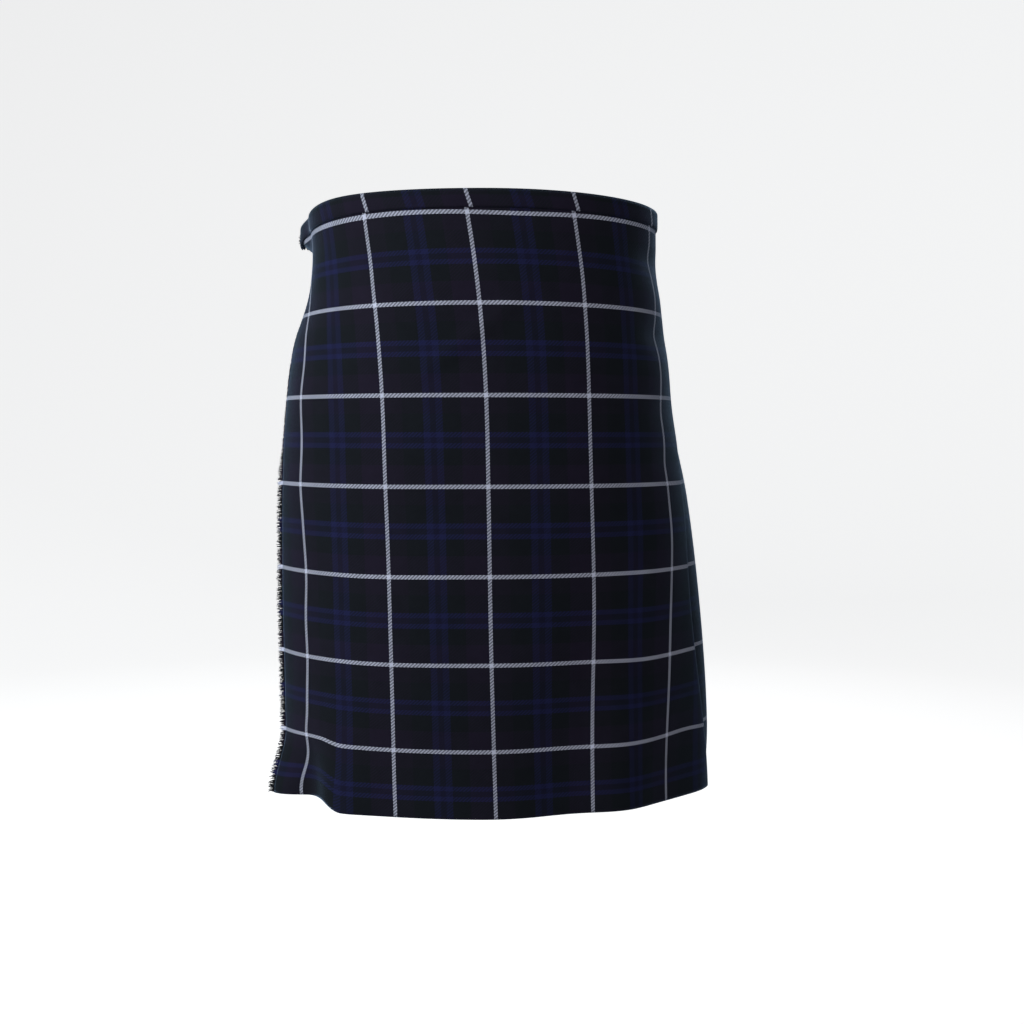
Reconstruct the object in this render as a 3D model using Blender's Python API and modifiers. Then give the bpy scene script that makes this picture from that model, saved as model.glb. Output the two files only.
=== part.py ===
"""A wrapped tartan kilt, held open in its worn shape with nobody in it.

One length of cloth goes one and a half times round the figure. It starts as the under apron
across the front, is folded into knife pleats round the back, and comes forward again as the
over apron, whose free edge is fringed at the wearer's right hip. A waistband binds the top
edge, and a leather strap and buckle close each hip.

The wearer faces -Y. The origin is the middle of the waist, level with the top of the band.
Sizes are in millimetres until place() turns them into metres. An arc is a distance round the
figure from the middle of the front, towards the wearer's left; a drop is a distance down.
"""

import math
from collections import namedtuple
from functools import lru_cache

import bmesh
import bpy
import numpy as np
from mathutils import Vector

MM = 0.001

# Cloth and seams
LENGTH = 610  # from the top of the band to the hem
CLOTH = 1.2  # wall of the cloth
CLEAR = 0.5  # between pieces that lie on each other
LAYER = CLOTH + CLEAR + 0.2  # from one folded layer to the next

# The cut, across the cloth from the white stripe in the middle of the over apron
FRINGED_EDGE = -245
APRON_FOLD = 250
UNDER_EDGE = 150
FRINGE_REACH = 5.5
FRINGE_THICK = 1.0

# The pleats
PLEATS = 18
PLEAT_DEPTH = 50  # hidden cloth, each way
LAST_FOLD = -225  # where the last pleat ends, under the over apron
FELL = 205  # sewn down from the waist to here
OPENING = 2.2  # times the sewn layer spacing, at the hem
WRAP_IN = 5.5  # how far the inner end of the wrap lies inside the outer end

# The waistband
BAND = 18
BAND_OFF = CLOTH + CLEAR + 0.2
UNDER_BAND = CLOTH / 2 + CLEAR  # drop at which the cloth starts, under the band's top

# The figure in it, at each drop: its reach to the wearer's right (-X) and left (+X), to the
# front and the back; how far back each side is widest; how square its left front quarter is
# (2 is an ellipse, more is squarer); how far the cloth leans to the left; and how much the
# cloth is stretched across.
Section = namedtuple(
    "Section", "drop right left front back right_turn left_turn square lean stretch slant"
)
FIGURE = (
    Section(0, 179, 178, 122, 124, 0, 0, 2.15, -18, 1.03, 0),
    Section(70, 178, 180, 130, 134, 4, 4, 2.15, -7, 1.03, 0),
    Section(135, 197, 190, 134, 147, 8, 8, 2.15, 0, 1.015, 0),
    Section(205, 209, 198, 134, 159, 12, 12, 2.12, 4, 1.005, -2),
    Section(300, 218, 217, 131, 167, 17, 22, 2.05, 6, 1, -12),
    Section(430, 220, 235, 123, 173, 21, 33, 1.9, 8, 1, -10),
    Section(545, 219, 244, 114, 177, 24, 39, 1.8, 11, 1, 6),
    Section(LENGTH, 222, 245, 110, 179, 25, 40, 1.78, 13, 1, 16),
)
SQUARENESS = 2.15  # of the other three quarters
HIP_DIP_RIGHT = 7  # the waist is this much lower over each hip
HIP_DIP_LEFT = 5
TOP_SHARPNESS = 8  # the dip over the right hip is nearer its corner by this power at the waist
TOP_FALL = 30
CORNER_RISE = 8  # the hem is lifted this much by the free corner of the over apron
RISE_ARC = -172
RISE_AFTER = 30  # the arc over which the rise dies away, on the far side of it and before it
RISE_BEFORE = 150

# Soft folds of the front: the arc of each one's middle at the hem, its half width, how far it
# stands out at the hem, and the drop at which it has died away.
Fold = namedtuple("Fold", "name arc half_width push above")
FOLDS = (
    Fold("roll beside the corner", -150, 34, 7, 480),
    Fold("valley beside the corner", -186, 22, -9, 520),
    Fold("hollow on the left thigh", 86, 40, -5, 330),
    Fold("roll on the left thigh", 150, 34, 6, 360),
    Fold("spring of the apron's folded edge", 268, 30, 5, 250),
)
CORNER_OUT_WAIST = 17  # the free corners of the over apron stand off
CORNER_OUT_HEM = 13
CORNER_DOWN = 6  # and the upper one sinks
CORNER_DROP = 42
CORNER_WIDTH = 42

# Rows of every piece of cloth, so that layers stay apart
ROWS = (UNDER_BAND + 0.5, BAND + 2, 42, 70, 135, 205, 300, 430, 545, LENGTH)
APRON_COLUMNS = 32
UNDER_COLUMNS = 26

# Straps and buckles
STRAP_WIDTH = 22
STRAP_THICK = 2.0
STRAP_DROP = 35  # their middle
CHAPE_THICK = 1.2
WIRE = 1.1  # radius of the buckle's frame
PRONG = 0.8
FRONT_BAR = 46  # from the edge where the strap comes out
REAR_BAR = 74
TIP = 142
HOLE = 1.7
HOLE_STEP = 13

TARTAN = ("tartan", (0.012, 0.013, 0.022), 0.9, 0.0)
YARN = ("yarn", (0.014, 0.02, 0.022), 0.95, 0.0)
LEATHER = ("leather", (0.018, 0.016, 0.015), 0.45, 0.0)
NICKEL = ("nickel", (0.72, 0.71, 0.69), 0.22, 1.0)


def smooth(low, high, value):
    """0 up to low, 1 from high, and a soft step between."""
    t = min(1.0, max(0.0, (value - low) / (high - low)))
    return t * t * (3 - 2 * t)


@lru_cache(maxsize=None)
def figure_at(drop):
    """The figure's section at a drop, on a smooth curve through the rows of FIGURE."""
    rows = FIGURE
    above = max(i for i, row in enumerate(rows[:-1]) if row.drop <= max(drop, 0))
    first, last = rows[above], rows[above + 1]
    before, after = rows[max(above - 1, 0)], rows[min(above + 2, len(rows) - 1)]
    span = last.drop - first.drop
    t = (drop - first.drop) / span
    values = []
    for name in Section._fields[1:]:
        p0, p1, p2, p3 = (getattr(row, name) for row in (before, first, last, after))
        out = span * (p2 - p0) / (last.drop - before.drop)
        into = span * (p3 - p1) / (after.drop - first.drop)
        cube = 2 * p1 - 2 * p2 + out + into
        square = -3 * p1 + 3 * p2 - 2 * out - into
        values.append(((cube * t + square) * t + out) * t + p1)
    return Section(drop, *values)


@lru_cache(maxsize=None)
def outline(drop):
    """Points round the figure at a drop, their outward normals, and the arc of each."""
    s = figure_at(drop)
    angle = np.linspace(-math.pi, math.pi, 1441)
    sine, cosine = np.sin(angle), np.cos(angle)
    power = np.where((sine > 0) & (cosine > 0), 2 / s.square, 2 / SQUARENESS)
    x = np.sign(sine) * np.abs(sine) ** power
    y = -np.sign(cosine) * np.abs(cosine) ** power
    turn = np.where(x < 0, s.right_turn, s.left_turn)
    x = np.where(x < 0, x * s.right, x * s.left)
    y = turn + np.where(y < 0, y * (s.front + turn), y * (s.back - turn))
    along = np.stack([np.gradient(x), np.gradient(y)], 1)
    along[[0, -1]] = (-1.0, 0.0)
    along /= np.linalg.norm(along, axis=1)[:, None]
    steps = np.hypot(np.diff(x), np.diff(y))
    arc = np.concatenate([[0], np.cumsum(steps)])
    arc -= arc[len(arc) // 2]
    return x, y, along[:, 1], -along[:, 0], arc


def girth(drop):
    arc = outline(drop)[4]
    return arc[-1] - arc[0]


def lean(drop):
    return figure_at(drop).lean


def fold_across(drop):
    """Where the over apron's folded edge lies across its cloth. It slants off the grain."""
    return APRON_FOLD + figure_at(drop).slant


def across_arc(across, drop):
    """The arc of a place on the over apron, given across the cloth from its middle stripe."""
    return across * figure_at(drop).stretch + lean(drop)


def place(arc, drop, inset, sink=0.0):
    """A point of the row frame, in metres, inset from the figure's outline."""
    x, y, nx, ny, arcs = outline(drop)
    at = (arc - arcs[0]) % girth(drop) + arcs[0]
    px, py, out_x, out_y = (np.interp(at, arcs, values) for values in (x, y, nx, ny))
    dip = HIP_DIP_RIGHT if px < 0 else HIP_DIP_LEFT
    sharpness = 2 + (TOP_SHARPNESS * (1 - smooth(0, TOP_FALL, drop)) if px < 0 else 0)
    dip *= (abs(px) / max(x.max(), -x.min())) ** sharpness * (1 - smooth(0, FELL, drop))
    from_corner = (at - RISE_ARC) / (RISE_AFTER if at > RISE_ARC else RISE_BEFORE)
    rise = CORNER_RISE * (1 - smooth(0, 1, abs(from_corner))) * smooth(470, LENGTH, drop)
    height = rise - drop - dip - sink
    return Vector((px - inset * out_x, py - inset * out_y, height)) * MM


def fold_push(arc, drop):
    """How far the soft folds of the front push the cloth out."""
    push = 0.0
    for fold in FOLDS:
        off = (arc - fold.arc) / fold.half_width
        push += fold.push * math.exp(-off * off) * smooth(fold.above, LENGTH, drop)
    return push


def corner_lift(across, drop):
    """How far the free corners of the over apron stand off, and how far the upper one sinks."""
    near_edge = 1 - smooth(FRINGED_EDGE, FRINGED_EDGE + CORNER_WIDTH, across)
    at_waist = near_edge * (1 - smooth(BAND, CORNER_DROP, drop))
    at_hem = near_edge * smooth(LENGTH - 70, LENGTH, drop)
    sink = CORNER_DOWN * at_waist * (1 - smooth(0, CORNER_DROP, drop))
    return CORNER_OUT_WAIST * at_waist + CORNER_OUT_HEM * at_hem, sink


# ---------------------------------------------------------------- where each layer of cloth lies


def pleat_width(drop):
    return (girth(drop) + across_arc(LAST_FOLD, drop) - across_arc(fold_across(drop), drop)) / PLEATS


def fold_arc(pleat, drop):
    """The arc of a pleat's outer fold. Pleat 0 is the fold of the over apron."""
    sway = 0.0
    if 0 < pleat < PLEATS:
        sway = 2.0 * math.sin(1.9 * pleat + 0.6) * smooth(FELL, LENGTH, drop)
    return across_arc(fold_across(drop), drop) + pleat * pleat_width(drop) + sway


def spacing(drop):
    """The depth from one pleat's face to the next one's: two layers, more where they hang free."""
    return 2 * LAYER * (1 + (OPENING - 1) * smooth(FELL, LENGTH, drop))


def wrap_inset(folds):
    """The wrap winds inwards from the over apron's fold to the last pleat."""
    return WRAP_IN * min(1.0, max(0.0, folds / PLEATS))


def pleat_lift(pleat, folds, drop):
    """Each pleat's free edge springs out by its own amount below the fell."""
    most = 1.4 + 1.2 * math.sin(2.3 * pleat + 1.0)
    return most * smooth(pleat - 1, pleat, folds) * smooth(FELL, LENGTH, drop)


def panel_inset(pleat, folds, drop):
    """Inset of the panel that ends in a pleat's outer fold."""
    return wrap_inset(folds) + spacing(drop) * (pleat - folds)


def on_folds(folds, drop, inset):
    """A point of the pleats, counted in folds. It lies straight between two of them, so that
    every layer is parallel to the next."""
    below = math.floor(folds)
    ends = []
    for fold in (below, below + 1):
        arc = fold_arc(fold, drop)
        valley = max(0.0, -fold_push(arc - girth(drop), drop)) if fold > PLEATS / 2 else 0.0
        ends.append(place(arc, drop, inset + valley))
    return ends[0].lerp(ends[1], folds - below)


def pleat_stations(pleat, drop):
    """Where a pleat's columns are, in folds: its panel, the turn at its fold, and its return."""
    width = pleat_width(drop)
    depth = PLEAT_DEPTH / width
    turn = spacing(drop) / 4 / width
    panel = (pleat - 1 - depth, pleat - 2, pleat - 1, pleat - turn)
    back = (pleat - turn, pleat - 1, pleat - depth)
    return panel, back


def pleat_point(pleat, column, drop):
    panel, back = pleat_stations(pleat, drop)
    turn = spacing(drop) / 4
    if column < len(panel):
        folds = panel[column]
        inset = panel_inset(pleat, folds, drop)
    elif column == len(panel):
        folds = pleat
        inset = panel_inset(pleat, folds, drop) + turn
    else:
        folds = back[column - len(panel) - 1]
        inset = panel_inset(pleat, folds, drop) + 2 * turn
    return on_folds(folds, drop, inset - pleat_lift(pleat, folds, drop))


def apron_point(across, drop, inset=0.0):
    """A point of the over apron, across the cloth from its middle stripe."""
    arc = across_arc(across, drop)
    lift, sink = corner_lift(across, drop)
    return place(arc, drop, inset - lift - fold_push(arc, drop), sink)


def apron_station(column, drop):
    reach = fold_across(drop) - spacing(drop) / 4 - FRINGED_EDGE
    return FRINGED_EDGE + reach * column / APRON_COLUMNS


def over_apron_point(column, drop):
    """The over apron's section: the face, round its fold, and the return under its edge."""
    turn = spacing(drop) / 4
    if column <= APRON_COLUMNS:
        return apron_point(apron_station(column, drop), drop)
    if column == APRON_COLUMNS + 1:
        return apron_point(fold_across(drop), drop, turn)
    folds = pleat_stations(0, drop)[1][column - APRON_COLUMNS - 2]
    return on_folds(folds, drop, panel_inset(0, folds, drop) + 2 * turn)


def under_inset(folds, drop):
    """The under apron comes out from the depth of the last pleat to lie behind the over apron."""
    return wrap_inset(folds) + spacing(drop) * max(0.0, PLEATS + 1 - folds)


def under_apron_point(column, drop, inset=0.0):
    width = pleat_width(drop)
    if column < 4:
        folds = (PLEATS - PLEAT_DEPTH / width, PLEATS - 1, PLEATS, PLEATS + 1)[column]
        return on_folds(folds, drop, under_inset(folds, drop) + inset)
    start = fold_arc(PLEATS + 1, drop) - girth(drop)
    share = (column - 3) / (UNDER_COLUMNS - 3)
    arc = start + (across_arc(UNDER_EDGE, drop) - start) * share
    return place(arc, drop, WRAP_IN + max(0.0, -fold_push(arc, drop)) + inset)


# ---------------------------------------------------------------- making the pieces


def clear_scene():
    for obj in list(bpy.data.objects):
        bpy.data.objects.remove(obj)


def new_collection(name):
    collection = bpy.data.collections.new(name)
    bpy.context.scene.collection.children.link(collection)
    return collection


def material(name, colour, roughness, metallic):
    found = bpy.data.materials.get(name)
    if found:
        return found
    made = bpy.data.materials.new(name)
    made.use_nodes = True
    shader = made.node_tree.nodes["Principled BSDF"]
    shader.inputs["Base Color"].default_value = (*colour, 1)
    shader.inputs["Roughness"].default_value = roughness
    shader.inputs["Metallic"].default_value = metallic
    return made


def add_object(name, data, finish, collection):
    obj = bpy.data.objects.new(name, data)
    data.materials.append(material(*finish))
    collection.objects.link(obj)
    return obj


def sheet(name, columns, rows, point_at, thickness, finish, collection):
    """A grid whose points are put where the cloth hangs, with Solidify for its thickness."""
    mesh = bpy.data.meshes.new(name)
    shape = bmesh.new()
    bmesh.ops.create_grid(shape, x_segments=columns, y_segments=len(rows) - 1, size=0.5)
    for vert in shape.verts:
        column = round((vert.co.x + 0.5) * columns)
        row = rows[round((0.5 - vert.co.y) * (len(rows) - 1))]
        vert.co = point_at(column, row)
    # Cutting every square along its shorter diagonal keeps parallel layers parallel.
    bmesh.ops.triangulate(shape, faces=shape.faces, quad_method="SHORT_EDGE")
    shape.to_mesh(mesh)
    shape.free()
    mesh.shade_smooth()
    obj = add_object(name, mesh, finish, collection)
    wall = obj.modifiers.new("Wall", "SOLIDIFY")
    wall.thickness = thickness * MM
    wall.offset = 0
    wall.use_even_offset = True
    return obj


def wire(name, points, radius, closed, finish, collection):
    curve = bpy.data.curves.new(name, "CURVE")
    curve.dimensions = "3D"
    curve.bevel_depth = radius * MM
    curve.bevel_resolution = 2
    curve.use_fill_caps = not closed
    spline = curve.splines.new("POLY")
    spline.points.add(len(points) - 1)
    for target, point in zip(spline.points, points):
        target.co = (*point, 1)
    spline.use_cyclic_u = closed
    return add_object(name, curve, finish, collection)


def make_pleat(number, collection):
    def point_at(column, drop):
        return pleat_point(number, column, drop)

    return sheet(f"pleat_{number:02d}", 7, ROWS, point_at, CLOTH, TARTAN, collection)


def make_over_apron(collection):
    columns = APRON_COLUMNS + 4
    return sheet("over_apron", columns, ROWS, over_apron_point, CLOTH, TARTAN, collection)


def make_under_apron(collection):
    return sheet("under_apron", UNDER_COLUMNS, ROWS, under_apron_point, CLOTH, TARTAN, collection)


def make_fringe(collection):
    """The plain reach of the fringe along the over apron's free edge, below the band."""
    start = FRINGED_EDGE - 2 * CLEAR

    def point_at(column, drop):
        return apron_point(start - FRINGE_REACH * column, drop)

    rows = (BAND + 2 * CLEAR, *ROWS[2:-1], LENGTH - 2)
    return sheet("fringe", 1, rows, point_at, FRINGE_THICK, YARN, collection)


# ---------------------------------------------------------------- waistband


def stack_depth(folds):
    """How deep the folded cloth inside the band is, at a place counted in folds."""
    depth = PLEAT_DEPTH / pleat_width(0)
    full = spacing(0) * (1 + depth)
    last = spacing(0) * (PLEATS + 1.4 - folds)
    return min(full * smooth(-depth - 1.2, -depth - 0.6, folds), last)


def band_point(column, row):
    """The band's section at each column of the cloth in it: the two aprons, and every fold."""
    outer, drop = row
    off = -BAND_OFF if outer else BAND_OFF
    if column <= APRON_COLUMNS:
        across = apron_station(column, 0)
        folds = (across - APRON_FOLD) / pleat_width(0)
        if outer or not stack_depth(folds):
            return apron_point(across, drop, off)
        return on_folds(folds, drop, stack_depth(folds) + off)
    folds = column - APRON_COLUMNS
    if folds <= PLEATS:
        inset = wrap_inset(folds) + (0 if outer else stack_depth(folds))
        return on_folds(folds, drop, inset + off)
    return under_apron_point(folds - PLEATS + 2, drop, off)


def make_waistband(collection):
    """One strip folded over the top of the cloth, from the over apron to the under apron."""
    top = CLOTH / 2
    rows = ((True, BAND), (True, top), (False, top), (False, BAND))
    columns = APRON_COLUMNS + PLEATS + UNDER_COLUMNS - 2
    return sheet("waistband", columns, rows, band_point, CLOTH, TARTAN, collection)


# ---------------------------------------------------------------- straps and buckles


Side = namedtuple("Side", "name start way tucked first_height")
FLAT = CLOTH / 2 + CLEAR + STRAP_THICK / 2  # the strap's middle, above the pleats' folds
CHAPE_LOW = CLOTH / 2 + CLEAR + CHAPE_THICK / 2
CHAPE_TOP = CHAPE_LOW + CHAPE_THICK + CLEAR
BAR = CLOTH / 2 + CLEAR + CHAPE_THICK + CLEAR + WIRE  # the rear bar, inside the chape's loop
LOOP = WIRE + CLEAR + CHAPE_THICK / 2
OVER_BAR = BAR + LOOP + CHAPE_THICK / 2 + CLEAR + STRAP_THICK / 2
OVER_CHAPE = CHAPE_TOP + CHAPE_THICK / 2 + CLEAR + STRAP_THICK / 2
FRONT = FLAT + STRAP_THICK / 2 + CLEAR + WIRE  # the front bar, on top of the strap
FIRST_HOLE = REAR_BAR - 7
SLOT = 3.3  # half the slot in the chape, for the prong


def on_hip(side, along, across, height):
    """A point on a strap's way: along it, down across it, and out from the pleats' folds."""
    drop = STRAP_DROP + across
    arc = side.start + side.way * along
    folds = (arc - fold_arc(0, drop)) / pleat_width(drop)
    return place(arc, drop, wrap_inset(folds) - height)


def strap_height(side, along):
    """The strap lies on the pleats, climbs through the frame over its bar, and comes down."""
    out = min(1.0, max(0.0, along / 22))
    height = side.first_height + (FLAT - side.first_height) * out
    height += (OVER_BAR - FLAT) * smooth(FRONT_BAR + 4, REAR_BAR - 3, along)
    height -= (OVER_BAR - OVER_CHAPE) * smooth(REAR_BAR + 4, REAR_BAR + 14, along)
    return height - (OVER_CHAPE - FLAT) * smooth(REAR_BAR + 30, REAR_BAR + 46, along)


def make_strap(side, collection, cutters):
    length = TIP + side.tucked
    columns = round(length / 5)

    def point_at(column, row):
        along = -side.tucked + length * column / columns
        to_tip = TIP - along
        half = STRAP_WIDTH / 2 * min(1.0, 0.35 + 0.65 * math.sqrt(max(0, to_tip) / 14))
        return on_hip(side, along, row * half, strap_height(side, along))

    name = f"strap_{side.name}"
    rows = (-1.0, 0.0, 1.0)
    strap = sheet(name, columns, rows, point_at, STRAP_THICK, LEATHER, collection)
    for number in range(-1, 4):
        along = FIRST_HOLE + number * HOLE_STEP
        height = strap_height(side, along)
        path = [on_hip(side, along, 0, height + off) for off in (-9, 9)]
        hole = wire(f"{name}_punch_{number + 2}", path, HOLE, False, LEATHER, cutters)
        punch(strap, as_mesh(hole, cutters))
    return strap


def as_mesh(obj, collection):
    """A curve made a closed mesh, so that it can cut."""
    graph = bpy.context.evaluated_depsgraph_get()
    mesh = bpy.data.meshes.new_from_object(obj.evaluated_get(graph))
    shape = bmesh.new()
    shape.from_mesh(mesh)
    bmesh.ops.remove_doubles(shape, verts=shape.verts, dist=1e-5)
    bmesh.ops.recalc_face_normals(shape, faces=shape.faces)
    shape.to_mesh(mesh)
    shape.free()
    made = bpy.data.objects.new(obj.name + "_mesh", mesh)
    collection.objects.link(made)
    bpy.data.objects.remove(obj)
    return made


def punch(obj, cutter):
    cutter.hide_render = True
    cut = obj.modifiers.new("Punch", "BOOLEAN")
    cut.operation = "DIFFERENCE"
    cut.object = cutter


def make_chape(side, collection, cutters):
    """A short tab of leather, looped round the rear bar and sewn to the pleats behind it."""
    tail = 26
    turns = 6
    section = [(tail, CHAPE_LOW), (17, CHAPE_LOW), (8, CHAPE_LOW)]
    for step in range(turns + 1):
        angle = math.pi * step / turns
        section.append((-LOOP * math.sin(angle), BAR - LOOP * math.cos(angle)))
    section += [(9, CHAPE_TOP), (17, CHAPE_TOP), (tail, CHAPE_TOP)]

    def point_at(column, across):
        along, height = section[column]
        return on_hip(side, REAR_BAR + along, across, height)

    name = f"chape_{side.name}"
    half = STRAP_WIDTH / 2 - 1.5
    rows = (-half, 0.0, half)
    columns = len(section) - 1
    chape = sheet(name, columns, rows, point_at, CHAPE_THICK, LEATHER, collection)
    path = [on_hip(side, REAR_BAR + off, 0, BAR) for off in (-6, 1.2)]
    slot = wire(f"{name}_slot", path, SLOT, False, LEATHER, cutters)
    punch(chape, as_mesh(slot, cutters))
    return chape


def make_frame(side, collection):
    """The buckle's frame: one wire bent to a rectangle with round corners."""
    half = STRAP_WIDTH / 2 + WIRE + 1.2
    corner = 3
    middle = (FRONT_BAR + REAR_BAR) / 2
    reach = (REAR_BAR - FRONT_BAR) / 2
    points = []
    for sx, sy, first in ((1, 1, 0), (-1, 1, 90), (-1, -1, 180), (1, -1, 270)):
        for step in range(4):
            angle = math.radians(first + 30 * step)
            along = middle + sx * (reach - corner) + corner * math.cos(angle)
            across = sy * (half - corner) + corner * math.sin(angle)
            share = (along - FRONT_BAR) / (REAR_BAR - FRONT_BAR)
            points.append(on_hip(side, along, across, FRONT + (BAR - FRONT) * share))
    return wire(f"buckle_{side.name}", points, WIRE, True, NICKEL, collection)


def make_prong(side, collection):
    """The prong: it hooks round the rear bar, comes up through the strap and lies on the frame."""
    around = WIRE + 0.4 + PRONG
    points = []
    for angle in (250, 215, 180):
        turn = math.radians(angle)
        points.append((REAR_BAR + around * math.cos(turn), BAR + around * math.sin(turn)))
    top = strap_height(side, FIRST_HOLE) + STRAP_THICK / 2 + 2 * PRONG
    on_front = FRONT + WIRE + CLEAR + PRONG
    points.append((FIRST_HOLE + 0.4, BAR + 1.0))
    points.append((FIRST_HOLE, top - 0.8))
    points.append((FIRST_HOLE - 1.2, top + 0.4))
    points.append((FRONT_BAR + 8, on_front + 1.2))
    points.append((FRONT_BAR - 3, on_front - 0.1))
    path = [on_hip(side, along, 0, height) for along, height in points]
    return wire(f"prong_{side.name}", path, PRONG, False, NICKEL, collection)


def make_keeper(side, collection):
    """The loop that holds the strap's tail: a narrow strip over it, sewn down at both feet."""
    half = STRAP_WIDTH / 2 + CLEAR + CHAPE_THICK / 2
    foot = CLOTH / 2 + CLEAR
    middle = REAR_BAR + 19
    top = strap_height(side, middle) + STRAP_THICK / 2 + CLEAR + CHAPE_THICK / 2
    rows = ((-half, foot), (-half, top), (half, top), (half, foot))

    def point_at(column, row):
        across, height = row
        return on_hip(side, middle - 4 + 4 * column, across, height)

    return sheet(f"keeper_{side.name}", 2, rows, point_at, CHAPE_THICK, LEATHER, collection)


def make_closure(side, collection, cutters):
    make_strap(side, collection, cutters)
    make_chape(side, collection, cutters)
    make_frame(side, collection)
    make_prong(side, collection)
    make_keeper(side, collection)


def main():
    clear_scene()
    kilt = new_collection("kilt")
    cutters = new_collection("cutters")
    make_over_apron(kilt)
    make_under_apron(kilt)
    for number in range(1, PLEATS + 1):
        make_pleat(number, kilt)
    make_waistband(kilt)
    make_fringe(kilt)
    edge = FRINGED_EDGE - 2 * CLEAR - FRINGE_REACH
    right_start = girth(STRAP_DROP) + across_arc(edge, STRAP_DROP)
    left_start = fold_arc(0, STRAP_DROP + STRAP_WIDTH / 2) + 2 * CLEAR
    on_face = FLAT - spacing(0) + 0.5
    make_closure(Side("right_hip", right_start, -1, 30, FLAT), kilt, cutters)
    make_closure(Side("left_hip", left_start, 1, 0, on_face), kilt, cutters)


main()
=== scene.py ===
"""A wrapped tartan kilt, held open in its worn shape with nobody in it.

It is put together in the order a kiltmaker works: the cloth and its over apron, the fringe, the
pleats, the under apron, the waistband, and last the straps and buckles. Lengths are in
millimetres in the making of each piece, and every mesh is in metres. The wearer faces -Y. An arc
is a distance round the figure from the middle of the front, towards the wearer's left, and a
drop is a distance down from the top of the waistband.
"""

import math
import random
from collections import namedtuple
from functools import lru_cache

import bmesh
import bpy
import numpy as np
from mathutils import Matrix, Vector


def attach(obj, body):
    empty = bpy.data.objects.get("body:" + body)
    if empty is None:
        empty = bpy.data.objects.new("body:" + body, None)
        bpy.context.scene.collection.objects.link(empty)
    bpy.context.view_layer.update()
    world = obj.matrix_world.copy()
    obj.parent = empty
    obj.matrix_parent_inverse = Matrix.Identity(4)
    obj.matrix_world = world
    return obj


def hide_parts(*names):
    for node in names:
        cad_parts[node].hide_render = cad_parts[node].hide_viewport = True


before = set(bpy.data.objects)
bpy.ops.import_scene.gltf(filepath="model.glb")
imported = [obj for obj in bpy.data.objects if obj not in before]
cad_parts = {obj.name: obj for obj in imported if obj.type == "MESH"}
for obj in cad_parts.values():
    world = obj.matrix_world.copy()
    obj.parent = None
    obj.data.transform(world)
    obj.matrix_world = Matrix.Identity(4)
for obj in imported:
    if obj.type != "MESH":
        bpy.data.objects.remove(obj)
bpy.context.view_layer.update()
bpy.ops.object.select_all(action="DESELECT")


# ---------------------------------------------------------------- camera, floor and light
# The kilt hangs clear of the floor of a round pale cove. Soft studio light comes mostly from the
# viewer's left, and the camera stands level with the hip, a long step in front of it.

CAMERA_AT, CAMERA_TIP = (0.013, -1.280, -0.232), 3.3  # in metres, and degrees below level
LENS, LENS_SHIFT = 42.6, (0.0156, -0.0078)
SKY_COLOUR, SKY_STRENGTH = (0.97, 0.98, 1, 1), 0.2
Light = namedtuple("Light", "name at size watts tint")
LIGHTS = (
    Light("window", (-2.2, -0.7, 0.6), 1.6, 47, (0.9, 0.98, 1)),
    Light("front", (-0.65, -2.15, 0.4), 1.6, 23, (1, 0.99, 1)),
    Light("rim", (0.5, 2.2, 1.2), 1.4, 13, (1, 1, 1)),
)
KILT_MIDDLE = Vector((0, 0, -0.3))
FLOOR_HEIGHT = -1.0
COVE_RADIUS, COVE_HEIGHT, COVE_BEND = 5, 8, 2
COVE_COLOUR, COVE_ROUGHNESS, COVE_GLOW = (0.9, 0.9, 0.9, 1), 0.9, 0.62

bpy.context.scene.view_settings.view_transform = "Standard"

camera_lens = bpy.data.cameras.new("camera")
camera_lens.lens = LENS
camera_lens.shift_x, camera_lens.shift_y = LENS_SHIFT
camera = bpy.data.objects.new("camera", camera_lens)
camera.location = CAMERA_AT
camera.rotation_euler = (math.radians(90 - CAMERA_TIP), 0, 0)
bpy.context.scene.collection.objects.link(camera)
bpy.context.scene.camera = camera

sky = bpy.data.worlds.new("studio")
sky.use_nodes = True
sky.node_tree.nodes["Background"].inputs["Color"].default_value = SKY_COLOUR
sky.node_tree.nodes["Background"].inputs["Strength"].default_value = SKY_STRENGTH
bpy.context.scene.world = sky

for light in LIGHTS:
    lamp = bpy.data.lights.new(light.name, "AREA")
    lamp.size, lamp.energy, lamp.color = light.size, light.watts, light.tint
    stand = bpy.data.objects.new(light.name, lamp)
    stand.location = light.at
    stand.rotation_euler = (KILT_MIDDLE - Vector(light.at)).to_track_quat("-Z", "Y").to_euler()
    stand.visible_camera = False
    bpy.context.scene.collection.objects.link(stand)

bpy.ops.mesh.primitive_cylinder_add(
    vertices=128,
    radius=COVE_RADIUS,
    depth=COVE_HEIGHT,
    location=(0, 0, FLOOR_HEIGHT + COVE_HEIGHT / 2),
)
cove = bpy.context.object
cove.name = "cove"
bpy.ops.object.transform_apply(location=True)
bend = cove.modifiers.new("Bend", "BEVEL")
bend.width = COVE_BEND
bend.segments = 16
bend.limit_method = "ANGLE"
bend.angle_limit = math.radians(60)
bpy.ops.object.modifier_apply(modifier=bend.name)
cove.data.flip_normals()
cove.data.shade_smooth()
cove.visible_diffuse = cove.visible_glossy = cove.visible_shadow = False
paint = bpy.data.materials.new("pale paint")
paint.use_nodes = True
painted = paint.node_tree.nodes["Principled BSDF"].inputs
painted["Base Color"].default_value = COVE_COLOUR
painted["Roughness"].default_value = COVE_ROUGHNESS
painted["Emission Color"].default_value = (1, 1, 1, 1)
painted["Emission Strength"].default_value = COVE_GLOW
cove.data.materials.append(paint)
bpy.ops.object.select_all(action="DESELECT")


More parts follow.
